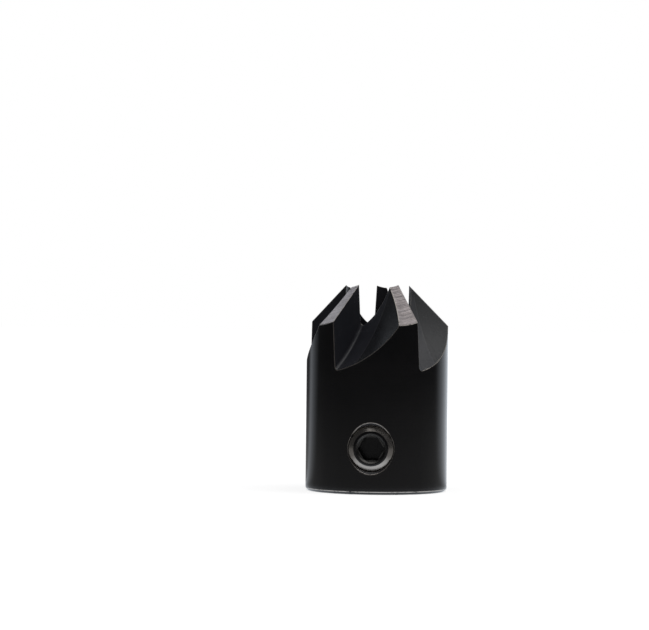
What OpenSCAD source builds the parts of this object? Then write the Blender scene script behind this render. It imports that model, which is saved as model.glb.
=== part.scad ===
// Push-on countersink for a twist drill.
// A round steel body slides over the drill. Five relieved teeth at the top cut a 90 degree
// countersink, and a socket set screw near the foot grips the drill.
// Origin at the centre of the foot, +Z along the bore towards the teeth, set screw facing -Y.

/* [Body] */
// Outside diameter of the body
body_d = 16; // [14:0.5:22]
// Height of the plain part, from the foot to the outer corners of the cutting edges
corner_z = 19.1; // [17:0.1:30]
// Diameter of the bore that takes the drill
bore_d = 7.5; // [5:0.1:8.5]
// Chamfer round the foot
foot_chamfer = 0.3; // [0.1:0.05:0.8]
// Chamfer where the bore leaves the foot
bore_chamfer = 0.4; // [0.1:0.05:0.8]

/* [Teeth] */
// Number of teeth
tooth_count = 5; // [3:1:6]
// Included angle of the cut that the teeth make
point_angle = 90; // [80:1:110]
// Turn of the first tooth from the set screw, seen from above
first_tooth_turn = 32; // [0:1:71]
// Distance of each cutting face ahead of the centre, at the height of the corners
face_offset = 0.92; // [0:0.02:1.4]
// Lean of the cutting faces from the axis
face_lean = 3.2; // [0:0.1:8]
// Clearance angle of the lands behind the cutting edges
land_relief = 8; // [4:0.5:16]
// Height of the sharp tips that is faced off flat
tip_flat = 0.02; // [0.02:0.01:0.3]

/* [Gullets] */
// Depth of each gullet at the rim, below the outer corners
gullet_depth = 5.5; // [4:0.1:7]
// Slope of the gullet floor at the rim, from level
gullet_slope = 40; // [30:1:50]
// Radius of the round wheel that cuts the gullets
gullet_r = 20.8; // [15:0.2:40]
// Corner radius of that wheel, which leaves the fillet at the root of each tooth
root_fillet = 0.4; // [0.2:0.05:1]

/* [Set screw] */
// Thread diameter of the set screw
screw_d = 5; // [3:0.5:6]
// Height of the set screw above the foot
screw_z = 5.1; // [4:0.1:9]
// Depth of the screw's outer end below the surface of the body
screw_recess = 0.15; // [0.05:0.05:0.6]
// Gap between the screw's inner end and the drill in the bore
screw_tip_gap = 0.1; // [0.05:0.05:0.5]
// Gap between the screw's crest and the wall of its hole
thread_gap = 0.05; // [0.03:0.01:0.08]
// Chamfer at the ends of the screw
screw_chamfer = 0.45; // [0.2:0.05:0.6]
// Depth of the cup in the screw's inner end
cup_depth = 0.6; // [0.2:0.05:0.8]
// Size of the hexagon socket across its flats
socket_af = 2.5; // [1.5:0.5:3]
// Depth of the hexagon socket
socket_depth = 2; // [1:0.1:2.5]
// Width of the countersunk ring at the mouth of the socket
socket_lead = 0.22; // [0.1:0.02:0.4]
// Width of the chamfer at the mouth of the screw's hole
mouth_chamfer = 0.32; // [0.1:0.02:0.6]

/* [Hidden] */

$fn = 96;
// How far a cut runs past the surface that it opens
over = 1;

body_r = body_d / 2;
bore_r = bore_d / 2;
half_point = point_angle / 2;

// The outer corner of a cutting edge in its tooth's own frame: X runs along the cutting face,
// and Y points the way the tooth cuts.
corner_x = sqrt(pow(body_r, 2) - pow(face_offset, 2));
top_z = corner_z + (body_r - bore_r) / tan(half_point) - tip_flat;
tooth_step = 360 / tooth_count;

// Centre of the gullet wheel, from the outer corner
wheel_x = gullet_r * sin(gullet_slope);
wheel_z = gullet_r * cos(gullet_slope) - gullet_depth;

screw_r = screw_d / 2;
screw_hole_r = screw_r + thread_gap;
screw_face_r = body_r - screw_recess;
screw_l = screw_face_r - bore_r - screw_tip_gap;
socket_r = socket_af / 2 / cos(30);

black_steel = [0.09, 0.09, 0.11];
dark_steel = [0.16, 0.16, 0.17];

// Round blank with its bore, up to the faced tips
module blank() {
    rotate_extrude()
        polygon([
            [bore_r + bore_chamfer, 0],
            [body_r - foot_chamfer, 0],
            [body_r, foot_chamfer],
            [body_r, top_z],
            [bore_r, top_z],
            [bore_r, bore_chamfer]
        ]);
}

// Wheel with its flat side on the XY plane and one rounded corner, that sweeps out a gullet.
// The corner is three short cones, which keep clean edges where they run out at the rim.
module gullet_wheel() {
    wheel_w = body_d;
    corner = [for (a = [-90 : 30 : 0])
        [gullet_r - root_fillet + root_fillet * cos(a), root_fillet + root_fillet * sin(a)]];
    rotate_extrude($fn = 2 * $fn)
        polygon(concat([[0, 0]], corner, [[gullet_r, wheel_w], [0, wheel_w]]));
}

// Gullet in front of the tooth whose cutting face lies along +X
module gullet() {
    translate([corner_x, face_offset, corner_z])
        rotate([face_lean, 0, 0])
        translate([wheel_x, 0, wheel_z])
        rotate([-90, 0, 0])
        gullet_wheel();
}

// What is ground off above the same tooth's land: the plane through its cutting edge, at the
// point angle, that falls away behind the edge
module land_clearance() {
    reach = body_d;
    translate([corner_x, face_offset, corner_z])
        rotate([0, 90 - half_point, 0])
        rotate([land_relief, 0, 0])
        translate([-reach, -reach, 0])
        cube([2 * reach, 2 * reach, reach]);
}

// Hole for the set screw, from outside the body into the bore, with a chamfered mouth
module screw_hole() {
    mouth_r = screw_hole_r + mouth_chamfer;
    translate([0, 0, screw_z])
        rotate([90, 0, 0]) {
            cylinder(r = screw_hole_r, h = body_r + over);
            translate([0, 0, body_r - mouth_chamfer])
                cylinder(r1 = screw_hole_r, r2 = mouth_r + over, h = mouth_chamfer + over);
        }
}

module cutter_body() {
    color(black_steel)
        difference() {
            blank();
            for (i = [0 : tooth_count - 1])
                rotate([0, 0, first_tooth_turn - 90 + i * tooth_step]) {
                    gullet();
                    land_clearance();
                }
            screw_hole();
        }
}

// Outline of the screw from its cupped inner end to its outer end
module screw_outline() {
    cup_r = screw_r - screw_chamfer;
    polygon([
        [0, cup_depth],
        [cup_r, 0],
        [screw_r, screw_chamfer],
        [screw_r, screw_l - screw_chamfer],
        [screw_r - screw_chamfer, screw_l],
        [0, screw_l]
    ]);
}

module set_screw() {
    color(dark_steel)
        translate([0, -bore_r - screw_tip_gap, screw_z])
        rotate([90, 0, 0])
        difference() {
            rotate_extrude() screw_outline();
            translate([0, 0, screw_l - socket_depth])
                cylinder(r = socket_r, h = socket_depth + over, $fn = 6);
            translate([0, 0, screw_l - socket_lead])
                cylinder(r1 = socket_r, r2 = socket_r + socket_lead + over, h = socket_lead + over);
        }
}

cutter_body();
set_screw();
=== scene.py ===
import logging
import math
from dataclasses import dataclass, field
from enum import Enum, IntEnum
from typing import Sequence

import bmesh
import bpy
from mathutils import Matrix, Vector


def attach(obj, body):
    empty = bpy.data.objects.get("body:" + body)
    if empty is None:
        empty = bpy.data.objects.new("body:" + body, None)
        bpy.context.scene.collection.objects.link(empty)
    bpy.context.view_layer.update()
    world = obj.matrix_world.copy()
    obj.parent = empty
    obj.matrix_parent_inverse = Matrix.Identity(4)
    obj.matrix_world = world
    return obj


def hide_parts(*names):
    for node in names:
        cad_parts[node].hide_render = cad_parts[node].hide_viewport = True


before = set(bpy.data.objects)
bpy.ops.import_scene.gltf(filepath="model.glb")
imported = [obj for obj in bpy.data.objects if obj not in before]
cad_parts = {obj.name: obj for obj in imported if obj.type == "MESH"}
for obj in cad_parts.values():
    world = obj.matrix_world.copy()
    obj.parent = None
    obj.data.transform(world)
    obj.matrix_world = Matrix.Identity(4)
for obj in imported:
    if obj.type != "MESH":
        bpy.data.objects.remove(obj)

log = logging.getLogger("countersink")
Point = tuple[float, float, float]
Rgb = tuple[float, float, float]
Span = tuple[float, float]
Profile = Sequence[tuple[float, float]]
Materials = Sequence[bpy.types.Material]
Socket = bpy.types.NodeSocket

# Millimetres that a tool runs past the surface that it opens
OVER = 1.0
# Metres that a bump of full height stands for
BUMP_REACH = 0.0001


class Unit(float, Enum):
    """Lengths in this file are millimetres, and a finished mesh is in metres."""

    MM = 0.001


class Face(IntEnum):
    """Material slots of the cutter body, by how the surface was made."""

    TURNED = 0
    GULLET = 1
    LAND = 2
    BORE = 3
    EDGE = 4


class ScrewFace(IntEnum):
    """Material slots of the set screw."""

    BLACK = 0
    CHAMFER = 1
    MOUTH = 2


class Cut(Enum):
    """What a solid does to the work that it meets."""

    TAKE_AWAY = "DIFFERENCE"
    KEEP_COMMON = "INTERSECT"
    JOIN = "UNION"


# ---- Shader tools ----


class Graph:
    """A node tree, with short ways to add and join its nodes."""

    def __init__(self, tree: bpy.types.NodeTree) -> None:
        """Takes the tree that the nodes go into.

        Args:
            tree: a material's, a world's or a group's node tree.
        """
        self.tree = tree

    def node(self, kind: str, **settings: object) -> bpy.types.Node:
        """Adds a node.

        Args:
            kind: the node's type name without its ShaderNode prefix.
            settings: properties of the node, such as operation.

        Returns:
            The new node.
        """
        made = self.tree.nodes.new("ShaderNode" + kind)
        for name, value in settings.items():
            setattr(made, name, value)
        return made

    def feed(self, node: bpy.types.Node, **inputs: object) -> bpy.types.Node:
        """Sets or joins a node's inputs.

        Args:
            node: the node to feed.
            inputs: for each input, named with _ for a space or i and its number, a value or an
                output socket.

        Returns:
            The same node.
        """
        for name, value in inputs.items():
            key = int(name[1:]) if name[1:].isdigit() else name.replace("_", " ")
            socket = node.inputs[key]
            if isinstance(value, Socket):
                self.tree.links.new(value, socket)
            else:
                socket.default_value = value
        return node

    def math(self, operation: str, a: object, b: object = 0.0, clamp: bool = False) -> Socket:
        """Adds a Math node.

        Args:
            operation: the node's operation.
            a: first value or socket.
            b: second value or socket.
            clamp: keeps the result between 0 and 1.

        Returns:
            Its output.
        """
        made = self.node("Math", operation=operation, use_clamp=clamp)
        return self.feed(made, i0=a, i1=b).outputs[0]

    def vector(self, operation: str, output: str, **inputs: object) -> Socket:
        """Adds a Vector Math node.

        Args:
            operation: the node's operation.
            output: Vector or Value, whichever the operation gives.
            inputs: its inputs, as in feed.

        Returns:
            Its output.
        """
        made = self.node("VectorMath", operation=operation)
        return self.feed(made, **inputs).outputs[output]

    def spread(
        self, value: object, low: float, high: float, to_low: float = 0.0, to_high: float = 1.0
    ) -> Socket:
        """Maps a range of values onto another, clamped.

        Args:
            value: the socket to map.
            low: start of its range.
            high: end of its range.
            to_low: result at the start.
            to_high: result at the end.

        Returns:
            The mapped value.
        """
        made = self.node("MapRange", clamp=True)
        return self.feed(made, i0=value, i1=low, i2=high, i3=to_low, i4=to_high).outputs[0]

    def blend(self, factor: object, a: object, b: object) -> Socket:
        """Mixes two colours.

        Args:
            factor: 0 for the first colour, 1 for the second.
            a: first colour.
            b: second colour.

        Returns:
            The mixed colour.
        """
        made = self.node("Mix", data_type="RGBA")
        return self.feed(made, i0=factor, i6=a, i7=b).outputs[2]

    def add_shares(self, a: object, share_a: float, b: object, share_b: float) -> Socket:
        """Adds two values, each times its share.

        Args:
            a: first value.
            share_a: what it is multiplied by.
            b: second value.
            share_b: what it is multiplied by.

        Returns:
            The sum.
        """
        first, second = self.math("MULTIPLY", a, share_a), self.math("MULTIPLY", b, share_b)
        return self.math("ADD", first, second)

    def noise(
        self, vector: object, scale: object, detail: float = 3.0, roughness: float = 0.55
    ) -> Socket:
        """Adds a Noise Texture.

        Args:
            vector: where it is read.
            scale: its scale, per millimetre.
            detail: octaves.
            roughness: how strong the small octaves are.

        Returns:
            Its value, about 0.5 in the middle.
        """
        made = self.node("TexNoise")
        self.feed(made, Vector=vector, Scale=scale, Detail=detail, Roughness=roughness)
        return made.outputs[0]

    def group(self, tree: bpy.types.NodeTree, **inputs: object) -> bpy.types.NodeOutputs:
        """Adds a shader group.

        Args:
            tree: the group.
            inputs: its inputs, as in feed.

        Returns:
            Its outputs.
        """
        return self.feed(self.node("Group", node_tree=tree), **inputs).outputs

    def millimetres(self) -> Socket:
        """Returns the surface point in millimetres, from Object coordinates."""
        place = self.node("TexCoord").outputs["Object"]
        return self.vector("SCALE", "Vector", Vector=place, Scale=1 / Unit.MM.value)

    def round_axis(self, point: Socket) -> tuple[bpy.types.NodeOutputs, Socket]:
        """Splits a point into its coordinates and its distance from the bore's axis.

        Args:
            point: the point.

        Returns:
            Its X, Y and Z, and its distance from the axis.
        """
        xyz = self.feed(self.node("SeparateXYZ"), Vector=point).outputs
        flat = self.feed(self.node("CombineXYZ"), X=xyz["X"], Y=xyz["Y"])
        return xyz, self.vector("LENGTH", "Value", i0=flat.outputs[0])


def colour(red: float, green: float, blue: float) -> tuple[float, float, float, float]:
    """Returns an opaque linear colour."""
    return (red, green, blue, 1.0)


def new_finish(name: str) -> tuple[bpy.types.Material, Graph, bpy.types.Node]:
    """Starts a material.

    Args:
        name: the material's name.

    Returns:
        The material, its graph and its shader.
    """
    made = bpy.data.materials.new(name)
    made.use_nodes = True
    return made, Graph(made.node_tree), made.node_tree.nodes["Principled BSDF"]


class EffectGroups:
    """The shader groups that the finishes share. Each is built once."""

    def __init__(self) -> None:
        """Builds every group."""
        self.oxide = self._oxide_mottle()
        self.rings = self._tool_rings()
        self.wear = self._edge_wear()
        self.passes = self._wheel_pass_sheen()

    @staticmethod
    def _start(
        name: str, values: dict[str, float], results: Sequence[str]
    ) -> tuple[Graph, bpy.types.NodeOutputs, bpy.types.Node]:
        """Makes an empty group with a Point input.

        Args:
            name: the group's name.
            values: its other inputs, each with its default value.
            results: its outputs.

        Returns:
            Its graph, its inputs and its output node.
        """
        tree = bpy.data.node_groups.new(name, "ShaderNodeTree")
        tree.interface.new_socket("Point", in_out="INPUT", socket_type="NodeSocketVector")
        for label, value in values.items():
            socket = tree.interface.new_socket(label, in_out="INPUT", socket_type="NodeSocketFloat")
            socket.default_value = value
        for label in results:
            tree.interface.new_socket(label, in_out="OUTPUT", socket_type="NodeSocketFloat")
        given = tree.nodes.new("NodeGroupInput").outputs
        return Graph(tree), given, tree.nodes.new("NodeGroupOutput")

    def _oxide_mottle(self) -> bpy.types.NodeTree:
        """Clouds and small specks of a hot black oxide bath.

        Returns:
            A group that gives a tone from 0 to 1 and a fine height.
        """
        values = {"Cloud": 0.35, "Grain": 14.0}
        g, given, end = self._start("oxide_mottle", values, ("Tone", "Height"))
        cloud = g.noise(given["Point"], given["Cloud"], 4.0, 0.6)
        grain = g.noise(given["Point"], given["Grain"], 2.0, 0.5)
        fine = g.spread(grain, 0.35, 0.65)
        tone = g.add_shares(g.spread(cloud, 0.3, 0.7), 0.75, fine, 0.25)
        g.feed(end, Tone=tone, Height=fine)
        return g.tree

    def _tool_rings(self) -> bpy.types.NodeTree:
        """Fine lines round the bore axis, as turning or relief grinding leaves them.

        Returns:
            A group that gives the lines' height. Along picks rings that follow each other up the
            axis, and Across picks rings that follow each other outwards.
        """
        values = {"Along": 1.0, "Across": 0.0, "Density": 12.0}
        g, given, end = self._start("tool_rings", values, ("Height",))
        xyz, radius = g.round_axis(given["Point"])
        steps = g.add_shares(xyz["Z"], given["Along"], radius, given["Across"])
        wander = g.math("MULTIPLY", g.noise(given["Point"], 0.4, 1.0), 0.12)
        lines = g.node("TexNoise", noise_dimensions="1D")
        g.feed(lines, W=g.math("ADD", steps, wander), Scale=given["Density"])
        g.feed(lines, Detail=3.0, Roughness=0.7)
        g.feed(end, Height=g.spread(lines.outputs[0], 0.3, 0.7))
        return g.tree

    def _edge_wear(self) -> bpy.types.NodeTree:
        """Breaks in the black on a sharp edge, where bare steel shows.

        Returns:
            A group that gives 1 where the steel is bare.
        """
        g, given, end = self._start("edge_wear", {"Amount": 0.5}, ("Bare",))
        patch = g.noise(given["Point"], 0.55, 2.0)
        speck = g.noise(given["Point"], 4.5, 3.0, 0.65)
        both = g.add_shares(patch, 0.5, speck, 0.5)
        edge = g.math("SUBTRACT", 0.75, g.math("MULTIPLY", given["Amount"], 0.5))
        steepness = 9.0
        bare = g.math("MULTIPLY", g.math("SUBTRACT", both, edge), steepness, clamp=True)
        g.feed(end, Bare=bare)
        return g.tree

    def _wheel_pass_sheen(self) -> bpy.types.NodeTree:
        """The straight ridge that a second pass of the wheel leaves across each gullet, where a
        painted highlight and painted lighter shading go.

        Returns:
            A group that gives 1 on the ridge, where the painted highlight goes, and 1 on the side
            of it by the cutting face, where painted lighter shading goes.
        """
        values = {"Turn": 0.0, "Teeth": 5.0, "Ahead": 3.58}
        g, given, end = self._start("wheel_pass_and_sheen", values, ("Mark", "Near"))
        xyz, radius = g.round_axis(given["Point"])
        step = g.math("DIVIDE", 2 * math.pi, given["Teeth"])
        angle = g.math("SUBTRACT", g.math("ARCTAN2", xyz["Y"], xyz["X"]), given["Turn"])
        fold = g.math("MULTIPLY", g.math("FRACT", g.math("DIVIDE", angle, step)), step)
        height = g.math("MULTIPLY", radius, g.math("SINE", fold))
        past = g.math("SUBTRACT", height, given["Ahead"])
        # Mask of the ridge line, which carries a bump and a painted highlight
        mark = g.spread(g.math("ABSOLUTE", past), 0.02, 0.09, 1.0, 0.0)
        # Near masks the side by the cutting face, which gets painted lighter shading
        g.feed(end, Mark=mark, Near=g.spread(past, -0.05, 0.05, 1.0, 0.0))
        return g.tree


# ---- Finishes ----


@dataclass(frozen=True)
class WheelMarkAndSheen:
    """What the wheel's second pass leaves in the gullets: a ridge raised by bump, a painted
    highlight along it, and painted lighter, bluish shading on its side by the cutting face. Degrees
    and millimetres.
    """

    turn: float
    teeth: int
    ahead: float = 3.58
    # Painted lighter, bluish shading on the side of the ridge by the cutting face
    sheen_side_share: float = 0.2
    sheen_side_tone: Rgb = (0.09, 0.09, 0.12)
    # Painted highlight along the ridge
    highlight_share: float = 0.2
    highlight_tone: Rgb = (0.16, 0.155, 0.16)
    line_height: float = 2.5


@dataclass(frozen=True)
class BlackOxide:
    """Hot black oxide on machined steel, oiled to a satin gloss."""

    name: str
    dark: Rgb = (0.0045, 0.0044, 0.0052)
    light: Rgb = (0.0085, 0.0075, 0.0085)
    roughness: Span = (0.11, 0.17)
    cloud: float = 0.3
    grain: float = 11.0
    rings_along: float = 1.0
    rings_across: float = 0.0
    ring_density: float = 9.0
    ring_depth: float = 0.02
    ring_share: float = 0.65
    speck_share: float = 0.35
    metallic: float = 0.0
    gloss_index: float = 1.5
    wear: float = 0.0
    bare: Rgb = (0.42, 0.40, 0.385)
    # Optional wheel ridge, with a painted highlight and painted lighter shading beside it
    mark: WheelMarkAndSheen | None = None

    def build(self, effects: EffectGroups) -> bpy.types.Material:
        """Makes the material.

        Args:
            effects: the shared shader groups.

        Returns:
            The material.
        """
        made, g, shader = new_finish(self.name)
        point = g.millimetres()
        mottle = g.group(effects.oxide, Point=point, Cloud=self.cloud, Grain=self.grain)
        rings = g.group(
            effects.rings,
            Point=point,
            Along=self.rings_along,
            Across=self.rings_across,
            Density=self.ring_density,
        )
        tone = g.blend(mottle["Tone"], colour(*self.dark), colour(*self.light))
        rough = g.spread(mottle["Tone"], 0.0, 1.0, *self.roughness)
        metal: object = self.metallic
        if self.wear > 0:
            bare = g.group(effects.wear, Point=point, Amount=self.wear)["Bare"]
            tone = g.blend(bare, tone, colour(*self.bare))
            metal = g.math("MAXIMUM", bare, self.metallic)
        height = g.add_shares(mottle["Height"], self.speck_share, rings["Height"], self.ring_share)
        if self.mark is not None:
            tone, height = self._add_mark_and_sheen(g, effects, point, tone, height)
        bump = g.node("Bump")
        g.feed(bump, Strength=self.ring_depth, Distance=BUMP_REACH, Height=height)
        g.feed(shader, Base_Color=tone, Roughness=rough, Metallic=metal)
        g.feed(shader, Normal=bump.outputs[0], IOR=self.gloss_index)
        return made

    def _add_mark_and_sheen(
        self, g: Graph, effects: EffectGroups, point: Socket, tone: Socket, height: Socket
    ) -> tuple[Socket, Socket]:
        """Adds the wheel's ridge as a bump, with a painted highlight along it and painted lighter
        shading on its side by the cutting face.

        Args:
            g: the material's graph.
            effects: the shared shader groups.
            point: the surface point in millimetres.
            tone: the colour without the painted highlight and shading.
            height: the bump's height without the ridge.

        Returns:
            The colour with the painted highlight and shading, and the height with the ridge.
        """
        mark = self.mark
        turn = math.radians(mark.turn)
        passes = g.group(
            effects.passes, Point=point, Turn=turn, Teeth=float(mark.teeth), Ahead=mark.ahead
        )
        # near: painted lighter, bluish shading on the cutting face's side of the ridge
        near = g.math("MULTIPLY", passes["Near"], mark.sheen_side_share)
        # line: painted highlight along the ridge, which also gets a real bump below
        line = g.math("MULTIPLY", passes["Mark"], mark.highlight_share)
        tone = g.blend(near, tone, colour(*mark.sheen_side_tone))
        tone = g.blend(line, tone, colour(*mark.highlight_tone))
        raised = g.math("MULTIPLY", passes["Mark"], mark.line_height)
        return tone, g.math("ADD", height, raised)


@dataclass(frozen=True)
class GroundSteel:
    """Bare tool steel that a grinding wheel has left with fine lines."""

    name: str
    dark: Rgb = (0.27, 0.24, 0.235)
    light: Rgb = (0.62, 0.555, 0.545)
    roughness: Span = (0.26, 0.40)
    density: float = 8.0
    depth: float = 0.45
    highlight_share: float = 0.6
    stain_share: float = 0.4
    stain_scale: float = 0.8

    def build(self, effects: EffectGroups) -> bpy.types.Material:
        """Makes the material.

        Args:
            effects: the shared shader groups.

        Returns:
            The material.
        """
        made, g, shader = new_finish(self.name)
        point = g.millimetres()
        lines = g.group(effects.rings, Point=point, Along=0.0, Across=1.0, Density=self.density)
        stain = g.spread(g.noise(point, self.stain_scale, 4.0, 0.6), 0.35, 0.7)
        mix = g.add_shares(lines["Height"], self.highlight_share, stain, self.stain_share)
        tone = g.blend(mix, colour(*self.dark), colour(*self.light))
        smooth, rough = self.roughness
        bump = g.node("Bump")
        g.feed(bump, Strength=self.depth, Distance=BUMP_REACH, Height=lines["Height"])
        g.feed(shader, Base_Color=tone, Roughness=g.spread(mix, 0.0, 1.0, rough, smooth))
        g.feed(shader, Metallic=1.0, Normal=bump.outputs[0])
        return made


# ---- Mesh tools ----


class Solid:
    """A closed mesh under construction, in millimetres."""

    def __init__(self, name: str) -> None:
        """Starts an empty mesh.

        Args:
            name: the name of its object.
        """
        self.name = name
        self.bm = bmesh.new()

    def turned(
        self, profile: Profile, steps: int, slots: Sequence[int] | None = None
    ) -> "Solid":
        """Spins a closed or axis-to-axis profile round Z.

        Args:
            profile: radius and height of each corner, in order.
            steps: segments of the full turn.
            slots: material slot of the surface from each corner to the next.

        Returns:
            Itself.
        """
        bm = self.bm
        corners = [bm.verts.new((r, 0.0, z)) for r, z in profile]
        on_axis = profile[0][0] == 0.0 and profile[-1][0] == 0.0
        count = len(corners) - 1 if on_axis else len(corners)
        ends = [(corners[i], corners[(i + 1) % len(corners)]) for i in range(count)]
        edges = [bm.edges.new(pair) for pair in ends]
        bmesh.ops.spin(
            bm,
            geom=corners + edges,
            cent=(0, 0, 0),
            axis=(0, 0, 1),
            angle=2 * math.pi,
            steps=steps,
            use_merge=True,
        )
        bmesh.ops.remove_doubles(bm, verts=bm.verts, dist=1e-6)
        if slots is not None:
            self._slot_by_profile(profile, slots)
        bmesh.ops.recalc_face_normals(bm, faces=bm.faces)
        return self

    def _slot_by_profile(self, profile: Profile, slots: Sequence[int]) -> None:
        """Gives each spun face the slot of the stretch of profile that it came from.

        Args:
            profile: radius and height of each corner.
            slots: slot of each stretch.
        """
        stretches = []
        for i, slot in enumerate(slots):
            a, b = profile[i], profile[(i + 1) % len(profile)]
            stretches.append((((a[0] + b[0]) / 2, (a[1] + b[1]) / 2), slot))
        for face in self.bm.faces:
            radii = [math.hypot(v.co.x, v.co.y) for v in face.verts]
            heights = [v.co.z for v in face.verts]
            middle = ((min(radii) + max(radii)) / 2, (min(heights) + max(heights)) / 2)
            face.material_index = min(stretches, key=lambda s: math.dist(s[0], middle))[1]

    def block(self, low: Point, high: Point) -> "Solid":
        """Adds a box between two corners.

        Args:
            low: its lowest corner.
            high: its highest corner.

        Returns:
            Itself.
        """
        size = Vector(high) - Vector(low)
        middle = (Vector(high) + Vector(low)) / 2
        place = Matrix.Translation(middle) @ Matrix.Diagonal((*size, 1.0))
        bmesh.ops.create_cube(self.bm, size=1.0, matrix=place)
        return self

    def prism(self, radius: float, sides: int, low: float, high: float) -> "Solid":
        """Adds an upright prism on Z.

        Args:
            radius: of its corners.
            sides: how many.
            low: height of its base.
            high: height of its top.

        Returns:
            Itself.
        """
        made = bmesh.ops.create_cone(
            self.bm,
            cap_ends=True,
            segments=sides,
            radius1=radius,
            radius2=radius,
            depth=high - low,
        )["verts"]
        first = min(made, key=lambda v: math.atan2(v.co.y, v.co.x) % (2 * math.pi))
        turn = Matrix.Rotation(-math.atan2(first.co.y, first.co.x), 4, "Z")
        lift = Matrix.Translation((0, 0, (low + high) / 2))
        bmesh.ops.transform(self.bm, matrix=lift @ turn, verts=made)
        return self

    def moved(self, matrix: Matrix) -> "Solid":
        """Moves the whole mesh and returns itself."""
        bmesh.ops.transform(self.bm, matrix=matrix, verts=self.bm.verts)
        return self

    def painted(self, slot: int) -> "Solid":
        """Puts every face in one material slot and returns itself."""
        for face in self.bm.faces:
            face.material_index = slot
        return self

    def as_object(self, materials: Materials) -> bpy.types.Object:
        """Ends the construction.

        Args:
            materials: the material slots.

        Returns:
            A linked object that holds the mesh, still in millimetres.
        """
        mesh = bpy.data.meshes.new(self.name)
        self.bm.to_mesh(mesh)
        self.bm.free()
        for material in materials:
            mesh.materials.append(material)
        made = bpy.data.objects.new(self.name, mesh)
        bpy.context.scene.collection.objects.link(made)
        return made


def apply_modifiers(work: bpy.types.Object) -> None:
    """Bakes the modifiers of an object into its mesh.

    Args:
        work: the object.
    """
    graph = bpy.context.evaluated_depsgraph_get()
    baked = bpy.data.meshes.new_from_object(
        work.evaluated_get(graph), preserve_all_data_layers=True, depsgraph=graph
    )
    old = work.data
    work.modifiers.clear()
    work.data = baked
    bpy.data.meshes.remove(old)


def machine(work: bpy.types.Object, tool: bpy.types.Object, cut: Cut) -> None:
    """Combines one solid with another and removes the second.

    Args:
        work: the object that stays.
        tool: the object that is used up.
        cut: how they combine.
    """
    step = work.modifiers.new("cut", "BOOLEAN")
    step.operation = cut.value
    step.solver = "EXACT"
    step.material_mode = "TRANSFER"
    step.object = tool
    apply_modifiers(work)
    mesh = tool.data
    bpy.data.objects.remove(tool)
    bpy.data.meshes.remove(mesh)


def clean(work: bpy.types.Object, near: float = 0.004, join_flat: bool = False) -> None:
    """Merges points that a cut left almost together, and drops faces of no area.

    Args:
        work: the object.
        near: greatest distance merged, in millimetres.
        join_flat: makes one face of those that lie in one plane.
    """
    bm = bmesh.new()
    bm.from_mesh(work.data)
    bmesh.ops.remove_doubles(bm, verts=bm.verts, dist=near)
    bmesh.ops.dissolve_degenerate(bm, edges=bm.edges, dist=near / 2)
    if join_flat:
        flat_within = math.radians(0.1)
        bmesh.ops.dissolve_limit(
            bm, angle_limit=flat_within, verts=bm.verts, edges=bm.edges, delimit={"MATERIAL"}
        )
    bm.to_mesh(work.data)
    bm.free()


def break_edges(work: bpy.types.Object, width: float, angle: float, slot: int) -> None:
    """Gives sharp edges a small round, and shades the mesh smooth.

    Args:
        work: the object.
        width: of the round, in millimetres.
        angle: edges sharper than this, in degrees, are rounded.
        slot: material slot of the round.
    """
    step = work.modifiers.new("edges", "BEVEL")
    step.affect = "EDGES"
    step.limit_method = "ANGLE"
    step.angle_limit = math.radians(angle)
    step.width = width
    step.segments = 2
    step.profile = 0.5
    step.material = slot
    step.use_clamp_overlap = False
    step.miter_outer = "MITER_ARC"
    for face in work.data.polygons:
        face.use_smooth = True
    even = work.modifiers.new("normals", "WEIGHTED_NORMAL")
    even.mode = "FACE_AREA"
    even.weight = 100
    even.keep_sharp = False
    apply_modifiers(work)


def finish_piece(work: bpy.types.Object) -> None:
    """Turns a mesh from millimetres to metres.

    Args:
        work: the object.
    """
    work.data.transform(Matrix.Scale(Unit.MM.value, 4))


# ---- Sub-assemblies ----


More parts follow.
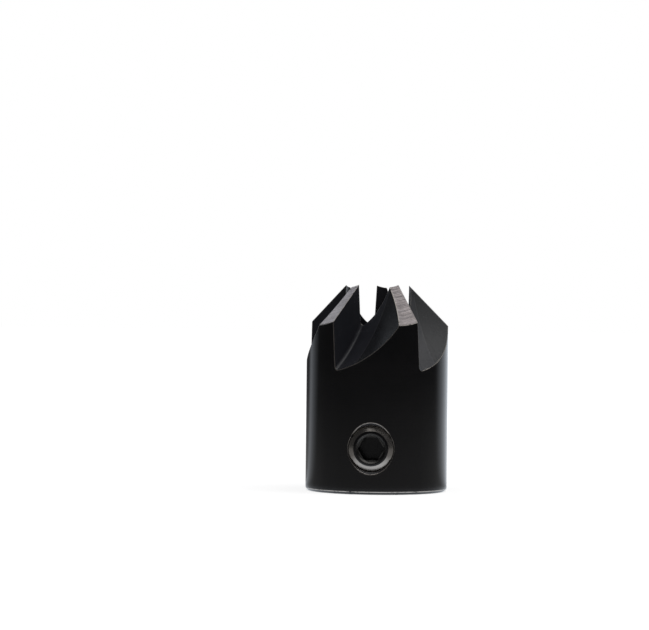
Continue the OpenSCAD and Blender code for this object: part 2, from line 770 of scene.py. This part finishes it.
@dataclass
class CutterBody:
    """The bored cylinder with its relieved teeth. Sizes in millimetres and degrees."""

    body_r: float = 8.0
    bore_r: float = 3.75
    corner_z: float = 19.1
    foot_chamfer: float = 0.3
    bore_chamfer: float = 0.4
    teeth: int = 5
    half_point: float = 45.0
    first_tooth_turn: float = 32.0
    face_offset: float = 0.92
    face_lean: float = 3.2
    land_relief: float = 8.0
    tip_flat: float = 0.02
    gullet_depth: float = 5.5
    gullet_slope: float = 40.0
    gullet_r: float = 20.8
    root_fillet: float = 0.4
    fillet_steps: int = 6
    wheel_steps: int = 720
    screw_z: float = 5.1
    hole_r: float = 2.55
    hole_steps: int = 96
    mouth_chamfer: float = 0.32
    edge_round: float = 0.06
    edge_angle: float = 24.0
    segments: int = 180
    materials: list[bpy.types.Material] = field(default_factory=list)

    @property
    def corner_x(self) -> float:
        """Distance of a cutting edge's outer corner from the bore axis, along its face."""
        return math.sqrt(self.body_r**2 - self.face_offset**2)

    @property
    def top_z(self) -> float:
        """Height of the faced tips."""
        rise = (self.body_r - self.bore_r) / math.tan(math.radians(self.half_point))
        return self.corner_z + rise - self.tip_flat

    def tooth_turn(self, index: int) -> float:
        """Gives the turn of a tooth's cutting face from +X.

        Args:
            index: which tooth, from 0.

        Returns:
            The turn, in degrees.
        """
        return self.first_tooth_turn - 90 + index * 360 / self.teeth

    def dress(self, effects: EffectGroups) -> None:
        """Makes the finishes, in the order of the slots.

        Args:
            effects: the shared shader groups.
        """
        finishes = (
            BlackOxide("black_turned_steel"),
            # Gullet finish: black oxide plus a painted highlight and painted lighter shading along
            # the wheel's second pass
            BlackOxide(
                "black_ground_gullet_painted_sheen",
                dark=(0.018, 0.019, 0.022),
                light=(0.034, 0.036, 0.041),
                roughness=(0.2, 0.3),
                rings_along=0.6,
                rings_across=0.8,
                ring_density=7.0,
                ring_depth=0.05,
                mark=WheelMarkAndSheen(turn=self.tooth_turn(0), teeth=self.teeth),
            ),
            GroundSteel("bare_ground_land"),
            BlackOxide(
                "black_bore_wall",
                dark=(0.020, 0.020, 0.025),
                light=(0.036, 0.035, 0.042),
                roughness=(0.24, 0.34),
                ring_density=6.0,
                ring_depth=0.06,
            ),
            BlackOxide(
                "black_worn_edge",
                light=(0.02, 0.019, 0.02),
                roughness=(0.25, 0.35),
                ring_depth=0.0,
                wear=0.78,
                bare=(0.42, 0.39, 0.36),
            ),
        )
        self.materials = [finish.build(effects) for finish in finishes]

    def blank(self) -> bpy.types.Object:
        """Returns the bored blank, faced at the height of the tips."""
        profile = [
            (self.bore_r + self.bore_chamfer, 0.0),
            (self.body_r - self.foot_chamfer, 0.0),
            (self.body_r, self.foot_chamfer),
            (self.body_r, self.top_z),
            (self.bore_r, self.top_z),
            (self.bore_r, self.bore_chamfer),
        ]
        slots = [Face.TURNED, Face.TURNED, Face.TURNED, Face.LAND, Face.BORE, Face.BORE]
        blank = Solid("cutter_body_machined").turned(profile, self.segments, slots)
        return blank.as_object(self.materials)

    def tooth_frame(self, index: int) -> Matrix:
        """Gives the frame at the outer corner of a cutting edge.

        Args:
            index: which tooth, from 0.

        Returns:
            The frame, with X along the cutting face and Y the way that the tooth cuts.
        """
        corner = Matrix.Translation((self.corner_x, self.face_offset, self.corner_z))
        return Matrix.Rotation(math.radians(self.tooth_turn(index)), 4, "Z") @ corner

    def gullet_wheel(self, index: int) -> bpy.types.Object:
        """Gives the round wheel that grinds the gullet in front of a tooth.

        Args:
            index: which tooth, from 0.

        Returns:
            The wheel, its flat side on the cutting face.
        """
        r, f, width = self.gullet_r, self.root_fillet, self.body_r * 2
        steps = self.fillet_steps
        arc = [math.radians(-90 + 90 * i / steps) for i in range(steps + 1)]
        corner = [(r - f + f * math.cos(a), f + f * math.sin(a)) for a in arc]
        profile = [(0.0, 0.0), *corner, (r, width), (0.0, width)]
        slope = math.radians(self.gullet_slope)
        down = r * math.cos(slope) - self.gullet_depth
        centre = Matrix.Translation((r * math.sin(slope), 0, down))
        lean = Matrix.Rotation(math.radians(self.face_lean), 4, "X")
        lie = Matrix.Rotation(math.radians(-90), 4, "X")
        wheel = Solid("wheel").turned(profile, self.wheel_steps).painted(Face.GULLET)
        place = self.tooth_frame(index) @ lean @ centre @ lie
        return wheel.moved(place).as_object(self.materials)

    def land_slab(self, index: int) -> bpy.types.Object:
        """Gives the block of waste above a tooth's land.

        Args:
            index: which tooth, from 0.

        Returns:
            The block, whose lower side falls away behind the cutting edge.
        """
        reach = self.body_r * 2
        tilt = Matrix.Rotation(math.radians(90 - self.half_point), 4, "Y")
        relief = Matrix.Rotation(math.radians(self.land_relief), 4, "X")
        slab = Solid("waste").block((-reach, -reach, 0), (reach, reach, reach))
        place = self.tooth_frame(index) @ tilt @ relief
        return slab.painted(Face.LAND).moved(place).as_object(self.materials)

    def hole_tool(self) -> bpy.types.Object:
        """Returns the stepped drill that makes the screw's hole and its mouth."""
        r, top, mouth = self.hole_r, self.body_r + OVER, self.mouth_chamfer
        profile = [
            (0.0, 0.0),
            (r, 0.0),
            (r, self.body_r - mouth),
            (r + mouth + OVER, top),
            (0.0, top),
        ]
        drill = Solid("drill").turned(profile, self.hole_steps).painted(Face.BORE)
        lie = Matrix.Rotation(math.radians(90), 4, "X")
        place = Matrix.Translation((0, 0, self.screw_z)) @ lie
        return drill.moved(place).as_object(self.materials)

    def build(self) -> bpy.types.Object:
        """Machines the blank.

        Returns:
            The finished piece, in metres.
        """
        work = self.blank()
        for index in range(self.teeth):
            machine(work, self.gullet_wheel(index), Cut.TAKE_AWAY)
            machine(work, self.land_slab(index), Cut.TAKE_AWAY)
        machine(work, self.hole_tool(), Cut.TAKE_AWAY)
        clean(work, join_flat=True)
        break_edges(work, self.edge_round, self.edge_angle, Face.EDGE)
        finish_piece(work)
        return work


@dataclass
class SetScrew:
    """The threaded set screw with its hexagon socket and cup point. Sizes in millimetres."""

    thread_r: float = 2.5
    pitch: float = 0.8
    thread_depth: float = 0.42
    thread_steps: int = 72
    spare_turns: int = 3
    run_out: float = 0.15
    length: float = 4.0
    inner_end: float = 3.85
    axis_z: float = 5.1
    chamfer: float = 0.45
    face_chamfer: Span = (0.55, 0.32)
    cup_depth: float = 0.6
    socket_af: float = 2.5
    socket_depth: float = 2.0
    socket_lead: float = 0.22
    edge_round: float = 0.03
    edge_angle: float = 32.0
    segments: int = 96
    materials: list[bpy.types.Material] = field(default_factory=list)

    @property
    def socket_r(self) -> float:
        """Radius of the hexagon's corners."""
        return self.socket_af / 2 / math.cos(math.radians(30))

    def dress(self, effects: EffectGroups) -> None:
        """Makes the finishes, in the order of the slots.

        Args:
            effects: the shared shader groups.
        """
        finishes = (
            BlackOxide("black_screw_steel", roughness=(0.2, 0.3), ring_depth=0.0),
            BlackOxide(
                "worn_screw_chamfer",
                dark=(0.29, 0.272, 0.25),
                light=(0.44, 0.412, 0.38),
                roughness=(0.23, 0.29),
                ring_depth=0.0,
                metallic=1.0,
            ),
            BlackOxide(
                "socket_mouth_steel",
                dark=(0.08, 0.077, 0.073),
                light=(0.15, 0.145, 0.138),
                roughness=(0.3, 0.4),
                ring_depth=0.0,
                metallic=1.0,
            ),
        )
        self.materials = [finish.build(effects) for finish in finishes]

    def thread(self) -> bpy.types.Object:
        """Returns a threaded rod, longer than the screw at both ends."""
        solid = Solid("set_screw_threaded")
        bm = solid.bm
        p, crest, root = self.pitch, self.thread_r, self.thread_r - self.thread_depth
        crest_flat, root_flat = p / 8, p / 4
        line = [
            (root, 0.0),
            (root, root_flat),
            (crest, p / 2),
            (crest, p / 2 + crest_flat),
            (root, p),
        ]
        turns = math.ceil(self.length / p) + self.spare_turns
        corners = [bm.verts.new((r, 0.0, z)) for r, z in line]
        edges = [bm.edges.new(pair) for pair in zip(corners, corners[1:])]
        bmesh.ops.spin(
            bm,
            geom=corners + edges,
            cent=(0, 0, 0),
            axis=(0, 0, 1),
            dvec=(0, 0, p / self.thread_steps),
            angle=2 * math.pi * turns,
            steps=self.thread_steps * turns,
        )
        bmesh.ops.remove_doubles(bm, verts=bm.verts, dist=1e-4)
        bmesh.ops.holes_fill(bm, edges=[e for e in bm.edges if e.is_boundary], sides=0)
        bmesh.ops.triangulate(bm, faces=[f for f in bm.faces if len(f.verts) > 4])
        bmesh.ops.recalc_face_normals(bm, faces=bm.faces)
        below = Matrix.Translation((0, 0, -self.spare_turns / 2 * p))
        return solid.moved(below).as_object(self.materials)

    def envelope(self) -> bpy.types.Object:
        """Returns the turned outline that trims the thread: chamfered ends and a cup."""
        wide, deep = self.face_chamfer
        past = 0.01
        profile = [
            (0.0, self.cup_depth),
            (self.thread_r - self.chamfer, 0.0),
            (self.thread_r + past, self.chamfer + past),
            (self.thread_r + past, self.length - deep),
            (self.thread_r - wide, self.length),
            (0.0, self.length),
        ]
        black, bare = ScrewFace.BLACK, ScrewFace.CHAMFER
        outline = Solid("outline").turned(profile, self.segments, [black, bare, black, bare, black])
        return outline.as_object(self.materials)

    def collar(self) -> bpy.types.Object:
        """Returns the short plain stretch under the outer chamfer, where the thread runs out."""
        low, high = self.length - self.chamfer - self.run_out, self.length + OVER
        profile = [(0.0, low), (self.thread_r, low), (self.thread_r, high), (0.0, high)]
        return Solid("collar").turned(profile, self.segments).as_object(self.materials)

    def socket(self) -> bpy.types.Object:
        """Returns the hexagon that is broached into the outer end."""
        low, high = self.length - self.socket_depth, self.length + OVER
        return Solid("socket").prism(self.socket_r, 6, low, high).as_object(self.materials)

    def lead(self) -> bpy.types.Object:
        """Returns the cone that opens the mouth of the socket."""
        low, high = self.length - self.socket_lead, self.length + OVER
        wide = self.socket_r + self.socket_lead + OVER
        profile = [(0.0, low), (self.socket_r, low), (wide, high), (0.0, high)]
        cone = Solid("lead").turned(profile, self.segments).painted(ScrewFace.MOUTH)
        return cone.as_object(self.materials)

    def build(self) -> bpy.types.Object:
        """Cuts the screw.

        Returns:
            The finished piece, in metres.
        """
        work = self.thread()
        machine(work, self.collar(), Cut.JOIN)
        machine(work, self.envelope(), Cut.KEEP_COMMON)
        machine(work, self.socket(), Cut.TAKE_AWAY)
        machine(work, self.lead(), Cut.TAKE_AWAY)
        clean(work)
        lie = Matrix.Rotation(math.radians(90), 4, "X")
        work.data.transform(Matrix.Translation((0, -self.inner_end, self.axis_z)) @ lie)
        break_edges(work, self.edge_round, self.edge_angle, ScrewFace.BLACK)
        finish_piece(work)
        return work


# ---- Studio ----


@dataclass(frozen=True)
class Softbox:
    """A soft lamp that faces the object. Its azimuth runs from the camera round to the camera's
    right. Angles in degrees, lengths in metres."""

    name: str
    azimuth: float
    elevation: float
    distance: float
    width: float
    height: float
    radiance: float

    def build(self, target: Vector, facing: float) -> None:
        """Hangs the lamp.

        Args:
            target: the point that it faces.
            facing: azimuth of the camera, in degrees.
        """
        a, e = math.radians(facing + self.azimuth), math.radians(self.elevation)
        out = Vector((math.sin(a) * math.cos(e), -math.cos(a) * math.cos(e), math.sin(e)))
        data = bpy.data.lights.new(self.name, "AREA")
        data.shape = "RECTANGLE"
        data.size, data.size_y = self.width, self.height
        data.energy = self.radiance * math.pi * self.width * self.height
        lamp = bpy.data.objects.new(self.name, data)
        aim = out.to_track_quat("Z", "Y").to_matrix().to_4x4()
        lamp.matrix_world = Matrix.Translation(target + out * self.distance) @ aim
        lamp.visible_camera = False
        bpy.context.scene.collection.objects.link(lamp)


@dataclass
class Studio:
    """A pale floor, a white surround and soft lamps. Degrees and metres.

    A fade runs from one value to the other. Behind, up and dim are taken from a direction of
    length 1: how far it points behind the object, how far up, and how near it is to the dim side.
    """

    facing: float = 5.7
    target: Point = (0.0, 0.0, 0.012)
    boxes: tuple[Softbox, ...] = (
        Softbox("top_box", 20, 84, 0.30, 0.30, 0.24, 1.1),
        Softbox("right_high_box", 74, 52, 0.32, 0.20, 0.18, 0.65),
    )
    behind_fade: Span = (0.35, 0.85)
    up_fade: Span = (0.75, 0.92)
    dim_side: float = -157.0
    dim_fade: Span = (0.93, 0.985)
    dim_wall: float = 0.18
    dim_floor: float = 0.0
    reflected: Rgb = (0.86, 0.92, 1.0)
    unlit: Rgb = (0.05, 0.05, 0.052)
    floor_size: float = 3.0
    floor_tone: float = 0.8
    under_fade: Span = (0.0105, 0.016)
    shadow_fade: Span = (0.03, 0.2)
    shadow_glow: float = 0.8

    def sweep(
        self, g: Graph, direction: Socket, low: float, near: object = 0.0
    ) -> tuple[Socket, Socket]:
        """Tells where the white backdrop is seen: everywhere by the camera, and in reflections
        behind the object and up to a height, as a paper sweep stands. On one side it is dim.

        Args:
            g: the graph of the floor or of the surround.
            direction: the way out from the object.
            low: how much of it shows where it is dim.
            near: 1 where the paper is under the object, which reflections always see.

        Returns:
            1 where the backdrop shows, and the colour that it has there.
        """
        a, b = math.radians(self.facing), math.radians(self.facing + self.dim_side)
        out = g.vector("NORMALIZE", "Vector", i0=direction)
        flat = g.vector("MULTIPLY", "Vector", i0=out, i1=(1.0, 1.0, 0.0))
        level = g.vector("NORMALIZE", "Vector", i0=flat)
        away = (-math.sin(a), math.cos(a), 0.0)
        aside = (math.sin(b), -math.cos(b), 0.0)
        behind = g.vector("DOT_PRODUCT", "Value", i0=level, i1=away)
        dim = g.vector("DOT_PRODUCT", "Value", i0=out, i1=aside)
        up = g.feed(g.node("SeparateXYZ"), Vector=out).outputs["Z"]
        stands = g.spread(up, *self.up_fade, 1.0, 0.0)
        wall = g.math("MULTIPLY", g.spread(behind, *self.behind_fade), stands)
        lit = g.math("MULTIPLY", wall, g.spread(dim, *self.dim_fade, 1.0, low))
        paper = g.math("MAXIMUM", lit, near)
        rays = g.node("LightPath").outputs
        mirrored = g.math("MULTIPLY", paper, rays["Is Glossy Ray"])
        seen = g.math("MAXIMUM", rays["Is Camera Ray"], mirrored)
        return seen, g.blend(rays["Is Camera Ray"], colour(*self.reflected), colour(1, 1, 1))

    def floor(self) -> None:
        """Lays the floor, white to the camera, that still takes the object's shadow."""
        made = bpy.data.materials.new("pale_floor")
        made.use_nodes = True
        g = Graph(made.node_tree)
        made.node_tree.nodes.clear()
        tone = self.floor_tone
        paint = g.feed(g.node("BsdfDiffuse"), Color=colour(tone, tone, tone))
        place = g.node("TexCoord").outputs["Object"]
        away = g.vector("LENGTH", "Value", i0=place)
        under = g.spread(away, *self.under_fade, 1.0, 0.0)
        seen, tint = self.sweep(g, place, self.dim_floor, under)
        strength = g.spread(away, *self.shadow_fade, self.shadow_glow, 1.0)
        glow = g.feed(g.node("Emission"), Color=tint, Strength=strength)
        both = g.feed(g.node("AddShader"), i0=paint.outputs[0], i1=glow.outputs[0])
        mix = g.feed(g.node("MixShader"), Fac=seen, i1=paint.outputs[0], i2=both.outputs[0])
        g.feed(g.node("OutputMaterial"), Surface=mix.outputs[0])
        bm = bmesh.new()
        bmesh.ops.create_grid(bm, x_segments=1, y_segments=1, size=self.floor_size)
        mesh = bpy.data.meshes.new("floor")
        bm.to_mesh(mesh)
        bm.free()
        mesh.materials.append(made)
        floor = bpy.data.objects.new("floor", mesh)
        bpy.context.scene.collection.objects.link(floor)

    def surround(self) -> None:
        """Makes the world: white where the backdrop shows, dim everywhere else."""
        world = bpy.data.worlds.new("surround")
        bpy.context.scene.world = world
        world.use_nodes = True
        g = Graph(world.node_tree)
        world.node_tree.nodes.clear()
        direction = g.node("TexCoord").outputs["Generated"]
        seen, tint = self.sweep(g, direction, self.dim_wall)
        tone = g.blend(seen, colour(*self.unlit), tint)
        sky = g.feed(g.node("Background"), Color=tone, Strength=1.0)
        g.feed(g.node("OutputWorld"), Surface=sky.outputs[0])

    def build(self) -> None:
        """Sets up the floor, the surround and the lamps."""
        self.floor()
        self.surround()
        for box in self.boxes:
            box.build(Vector(self.target), self.facing)
        bpy.context.scene.view_settings.view_transform = "Standard"


@dataclass(frozen=True)
class PhotoCamera:
    """The camera at the photograph's place. Lengths in millimetres, angles in degrees, clip
    distances in metres."""

    distance: float = 294.9
    side: float = 6.03
    azimuth: float = 5.7
    height: float = 19.83
    roll: float = 0.57
    focal_pixels: float = 2600.0
    frame_width: float = 649.0
    sensor: float = 36.0
    clip: Span = (0.01, 50.0)

    def build(self) -> None:
        """Makes the camera and gives it to the scene."""
        a = math.radians(self.azimuth)
        back = Vector((math.sin(a), -math.cos(a), 0))
        right = Vector((math.cos(a), math.sin(a), 0))
        up = Vector((0, 0, 1))
        place = (back * self.distance - right * self.side + up * self.height) * Unit.MM.value
        data = bpy.data.cameras.new("photo_camera")
        data.sensor_width = self.sensor
        data.lens = self.focal_pixels / self.frame_width * self.sensor
        data.clip_start, data.clip_end = self.clip
        made = bpy.data.objects.new("photo_camera", data)
        axes = Matrix((right, up, back)).transposed()
        turned = axes @ Matrix.Rotation(math.radians(self.roll), 3, "Z")
        made.matrix_world = Matrix.Translation(place) @ turned.to_4x4()
        bpy.context.scene.collection.objects.link(made)
        bpy.context.scene.camera = made


def corners(box: tuple[Vector, Vector]) -> list[list[float]]:
    """Returns a box's two corners as plain lists."""
    return [list(corner) for corner in box]


def main() -> None:
    """Builds the scene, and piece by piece."""
    logging.basicConfig(level=logging.INFO, format="%(name)s: %(message)s")
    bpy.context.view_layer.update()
    PhotoCamera().build()
    Studio().build()
    effects = EffectGroups()

    cutter = CutterBody()
    cutter.dress(effects)
    body = cutter.build()
    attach(body, "body")
    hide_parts("cutter_body")
    log.info("%s: %d faces", body.name, len(body.data.polygons))

    screw = SetScrew()
    screw.dress(effects)
    grub = screw.build()
    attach(grub, "screw")
    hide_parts("set_screw")
    log.info("%s: %d faces", grub.name, len(grub.data.polygons))


if __name__ == "__main__":
    main()
